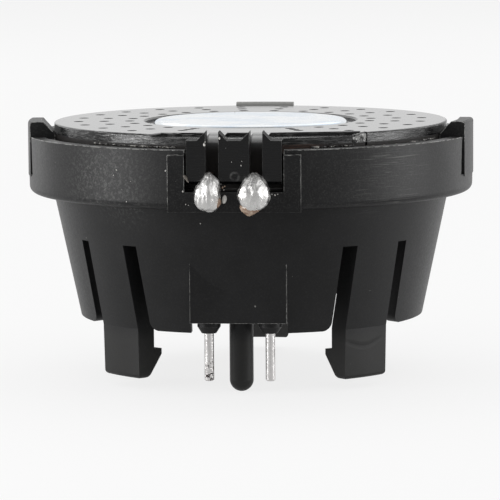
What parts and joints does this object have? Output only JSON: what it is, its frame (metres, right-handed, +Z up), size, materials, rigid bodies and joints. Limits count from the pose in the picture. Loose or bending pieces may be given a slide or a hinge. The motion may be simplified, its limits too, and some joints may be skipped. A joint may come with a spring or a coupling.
{
  "type": "dashboard speaker",
  "caption": "Miniature loudspeaker capsule clipped face down into a moulded funnel holder with snap legs, a locating peg and solder pins for a circuit board.",
  "frame": {"origin": "on the speaker's axis in the funnel's lower rim, where the board's upper face lies", "axes": "+Z up the axis towards the back plate, -Y to the front with the solder joints, +X to the right seen from the front"},
  "size_m": [0.0382, 0.0403, 0.0223],
  "materials": {
    "holder_plastic": "black moulded PBT, satin, with fine scuffs",
    "capsule_plastic": "black ABS, semi-gloss",
    "zinc_steel": "bright zinc plate",
    "magnet": "nickel-grey sintered magnet",
    "copper_wire": "enamelled copper wire",
    "film": "thin clear polyester film",
    "cloth": "black woven acoustic cloth",
    "tinned_wire": "tinned, drawn",
    "solder": "bright solder"
  },
  "bodies": {
    "speaker_body": {"holder": "holder_plastic", "capsule_frame": "capsule_plastic", "yoke_cup": "zinc_steel", "magnet": "magnet", "pole_plate": "zinc_steel", "front_ring": "capsule_plastic", "damping_cloth": "cloth", "terminal_pin_left": "tinned_wire", "terminal_pin_right": "tinned_wire", "coil_lead_left": "copper_wire", "coil_lead_right": "copper_wire", "solder_joint_left": "solder", "solder_joint_right": "solder"},
    "moving_system": {"voice_coil": "copper_wire", "diaphragm": "film"}
  },
  "joints": [
    {"name": "coil_travel", "type": "slide", "parent": "speaker_body", "child": "moving_system", "axis": [0, 0, 1], "range_m": [-0.00035, 0.00035], "stiffness_N_per_m": 1000, "deforming": ["diaphragm"]}
  ]
}
